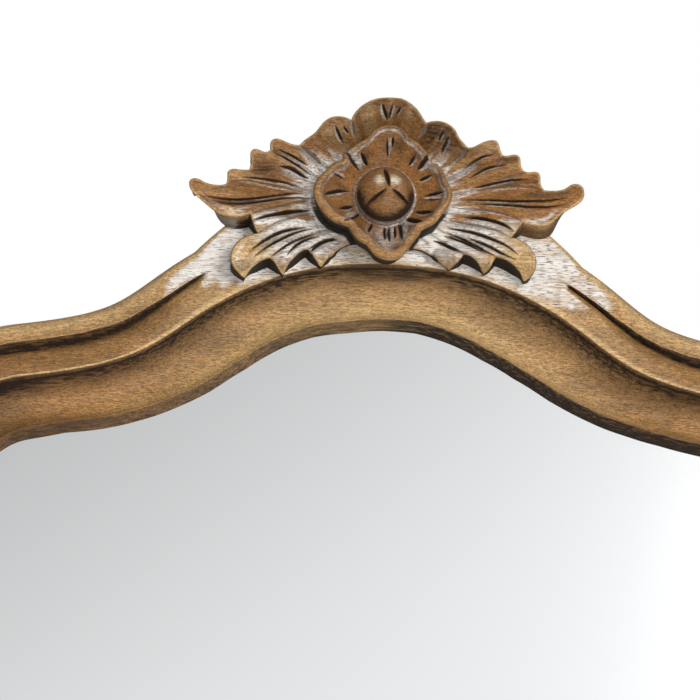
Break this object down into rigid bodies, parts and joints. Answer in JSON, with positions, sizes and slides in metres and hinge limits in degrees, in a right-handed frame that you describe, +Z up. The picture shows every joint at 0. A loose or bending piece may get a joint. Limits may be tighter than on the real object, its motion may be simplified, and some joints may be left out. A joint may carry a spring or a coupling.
{
  "type": "cheval mirror",
  "caption": "Full-length tilting mirror in a moulded serpentine wood frame with a carved crest, hung between two posts on scrolled feet.",
  "frame": {"origin": "on the floor, midway between the four feet, under the pivot axis", "axes": "+Z up, +X to the viewer's right, the glass and the crest face -Y"},
  "size_m": [0.7242, 0.518, 1.76],
  "materials": {
    "mahogany": "waxed, limed in the recesses",
    "silvered_glass": "polished",
    "backing": "bare plywood",
    "dowel_beech": "bare",
    "steel": "zinc plated",
    "brass": "satin",
    "felt": "felt"
  },
  "bodies": {
    "stand": {"left_post": "mahogany", "right_post": "mahogany", "left_finial": "mahogany", "right_finial": "mahogany", "front_left_foot": "mahogany", "front_right_foot": "mahogany", "back_left_foot": "mahogany", "back_right_foot": "mahogany", "foot_pads": "felt", "foot_dowels": "dowel_beech", "stretcher": "mahogany", "stretcher_dowels": "dowel_beech", "stretcher_bolts": "steel", "barrel_nuts": "steel", "bolt_caps": "mahogany", "left_bush": "brass", "right_bush": "brass"},
    "mirror_frame": {"top_rail": "mahogany", "bottom_rail": "mahogany", "left_stile": "mahogany", "right_stile": "mahogany", "frame_dowels": "dowel_beech", "crest_spray": "mahogany", "crest_flower": "mahogany", "crest_boss": "mahogany", "mirror_glass": "silvered_glass", "backing_board": "backing", "glass_clips": "steel", "clip_screws": "steel", "left_insert": "brass", "right_insert": "brass", "left_felt_washer": "felt", "right_felt_washer": "felt"},
    "left_clamp": {"left_knob_washer": "brass"},
    "left_knob": {"left_knob": "mahogany", "left_stud": "steel"},
    "right_clamp": {"right_knob_washer": "brass"},
    "right_knob": {"right_knob": "mahogany", "right_stud": "steel"}
  },
  "joints": [
    {"name": "mirror_tilt", "type": "hinge", "parent": "stand", "child": "mirror_frame", "pos_m": [0, 0, 0.972], "axis": [1, 0, 0], "range_deg": [-170, 170]},
    {"name": "left_clamp_travel", "type": "slide", "parent": "mirror_frame", "child": "left_clamp", "axis": [-1, 0, 0], "range_m": [0, 0.0025]},
    {"name": "left_knob_turn", "type": "hinge", "parent": "left_clamp", "child": "left_knob", "pos_m": [-0.34, 0, 0.972], "axis": [-1, 0, 0], "range_deg": [0, 720]},
    {"name": "right_clamp_travel", "type": "slide", "parent": "mirror_frame", "child": "right_clamp", "axis": [1, 0, 0], "range_m": [0, 0.0025]},
    {"name": "right_knob_turn", "type": "hinge", "parent": "right_clamp", "child": "right_knob", "pos_m": [0.34, 0, 0.972], "axis": [1, 0, 0], "range_deg": [0, 720]}
  ],
  "couplings": [
    {"joint": "left_knob_turn", "follows": "left_clamp_travel", "rad_per_m": 5026.5},
    {"joint": "right_knob_turn", "follows": "right_clamp_travel", "rad_per_m": 5026.5}
  ]
}
